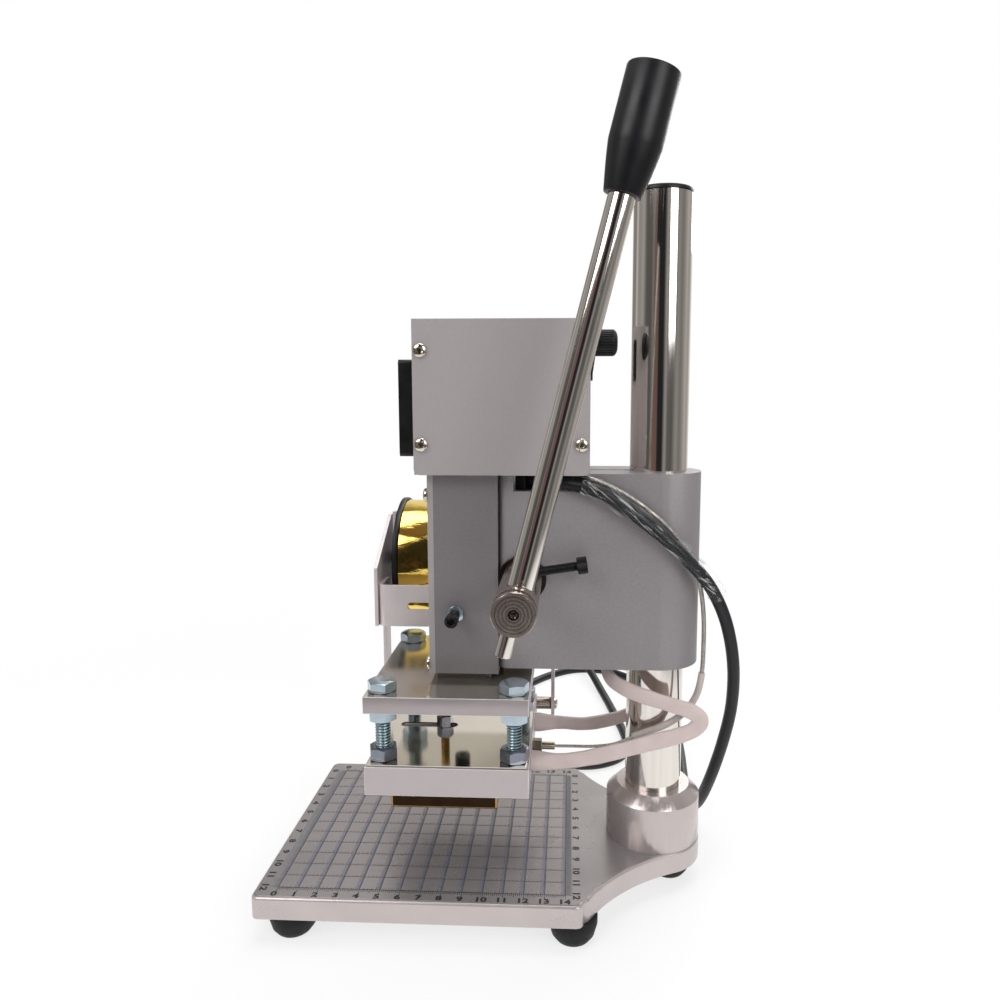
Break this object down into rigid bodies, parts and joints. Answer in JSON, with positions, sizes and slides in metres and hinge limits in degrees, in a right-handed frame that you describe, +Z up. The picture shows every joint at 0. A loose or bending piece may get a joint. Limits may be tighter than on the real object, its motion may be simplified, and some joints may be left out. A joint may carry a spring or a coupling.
{
  "type": "hot foil stamping machine",
  "caption": "Lever press on a round column with a heated plate, brass die, gold foil roll and temperature controller, for stamping foil onto leather or card.",
  "frame": {"origin": "centre of the machine's box without its cord, on the surface that the feet stand on", "axes": "+Z up along the column, -Y towards the operator, +X towards the lever"},
  "size_m": [0.448, 0.2437, 0.3975],
  "materials": {
    "textured_paint": "fine sand-textured silver paint",
    "box_paint": "fine silver paint",
    "table_plate": "machined edges, printed centimetre grid on top",
    "polished_steel": "polished",
    "turned_steel": "turned",
    "zinc_steel": "bright zinc plated",
    "black_steel": "black oxide",
    "bare_aluminium": "machined",
    "mirror_sheet": "polished aluminium",
    "bright_sheet": "satin sheet",
    "brass": "machined, heat tinted",
    "bronze": "sintered",
    "gold_foil": "metallised gold film",
    "cardboard": "wound cardboard",
    "black_rubber": "matt",
    "grip_plastic": "moulded, semi-gloss",
    "black_plastic": "moulded",
    "key_plastic": "moulded",
    "display_window": "tinted clear",
    "relay_plastic": "moulded",
    "glass_sleeve": "coated fibreglass braid",
    "steel_braid": "braided"
  },
  "bodies": {
    "base": {"base_plate": "table_plate", "rubber_feet": "black_rubber", "base_screws": "black_steel", "column": "polished_steel", "column_cap": "black_plastic", "column_collar": "bare_aluminium", "column_anchor": "turned_steel", "mains_cord": "black_plastic", "mains_plug": "black_plastic"},
    "head": {"arm": "textured_paint", "arm_screws": "black_steel", "shaft_bushes": "bronze", "ram_housing": "textured_paint", "front_cover": "textured_paint", "cover_screws": "zinc_steel", "brake_screw": "black_steel", "brake_nut": "zinc_steel", "brake_pad": "brass", "control_box": "box_paint", "box_cover": "box_paint", "controller": "black_plastic", "controller_display": "display_window", "switch_frame": "black_plastic", "fuse_holder": "black_plastic", "power_relay": "relay_plastic", "cord_clamp": "black_plastic", "foil_bracket": "bright_sheet", "foil_ears": "bright_sheet", "ear_screws": "zinc_steel", "guide_bar": "polished_steel", "heater_leads": "glass_sleeve", "thermocouple_lead": "steel_braid"},
    "lever": {"pinion_shaft": "turned_steel", "pinion": "turned_steel", "lever_rod": "polished_steel", "lever_grip": "grip_plastic", "lever_screws": "black_steel", "shaft_clip": "turned_steel"},
    "press_ram": {"ram": "turned_steel", "rack": "turned_steel", "ram_screws": "black_steel", "upper_plate": "bare_aluminium", "plate_bolts": "zinc_steel", "plate_nuts": "zinc_steel", "heater_block": "bare_aluminium", "reflector_sheet": "mirror_sheet", "slot_screw": "brass", "heater_cartridges": "turned_steel", "thermocouple_probe": "brass", "die_holder": "brass", "stamping_die": "brass"},
    "foil_spool": {"foil_axle": "black_plastic", "roll_discs": "black_plastic", "foil_core": "cardboard", "foil_roll": "gold_foil"},
    "rocker": {"switch_rocker": "black_plastic"},
    "left_key": {"key_left": "key_plastic"},
    "middle_key": {"key_middle": "key_plastic"},
    "right_key": {"key_right": "key_plastic"},
    "fuse_knob": {"fuse_cap": "black_plastic"}
  },
  "joints": [
    {"name": "head_height", "type": "slide", "parent": "base", "child": "head", "axis": [0, 0, 1], "range_m": [0, 0.1], "deforming": ["mains_cord"]},
    {"name": "lever_turn", "type": "hinge", "parent": "head", "child": "lever", "pos_m": [0.00925, 0.0166, 0.17], "axis": [1, 0, 0], "range_deg": [0, 120]},
    {"name": "ram_slide", "type": "slide", "parent": "head", "child": "press_ram", "axis": [0, 0, -1], "range_m": [0, 0.03142], "deforming": ["heater_leads", "thermocouple_lead"]},
    {"name": "foil_spin", "type": "hinge", "parent": "head", "child": "foil_spool", "pos_m": [-0.06175, -0.018, 0.161], "axis": [0, 1, 0], "continuous": true},
    {"name": "rocker_tilt", "type": "hinge", "parent": "head", "child": "rocker", "pos_m": [-0.00275, 0.0506, 0.281], "axis": [1, 0, 0], "range_deg": [0, 16]},
    {"name": "fuse_cap_turn", "type": "hinge", "parent": "head", "child": "fuse_knob", "pos_m": [0.02925, 0.05, 0.288], "axis": [0, 1, 0], "range_deg": [0, 90]},
    {"name": "key_press_left", "type": "slide", "parent": "head", "child": "left_key", "axis": [0, 1, 0], "range_m": [0, 0.0008], "stiffness_N_per_m": 300},
    {"name": "key_press_middle", "type": "slide", "parent": "head", "child": "middle_key", "axis": [0, 1, 0], "range_m": [0, 0.0008], "stiffness_N_per_m": 300},
    {"name": "key_press_right", "type": "slide", "parent": "head", "child": "right_key", "axis": [0, 1, 0], "range_m": [0, 0.0008], "stiffness_N_per_m": 300}
  ],
  "couplings": [
    {"joint": "ram_slide", "follows": "lever_turn", "m_per_rad": 0.015}
  ]
}
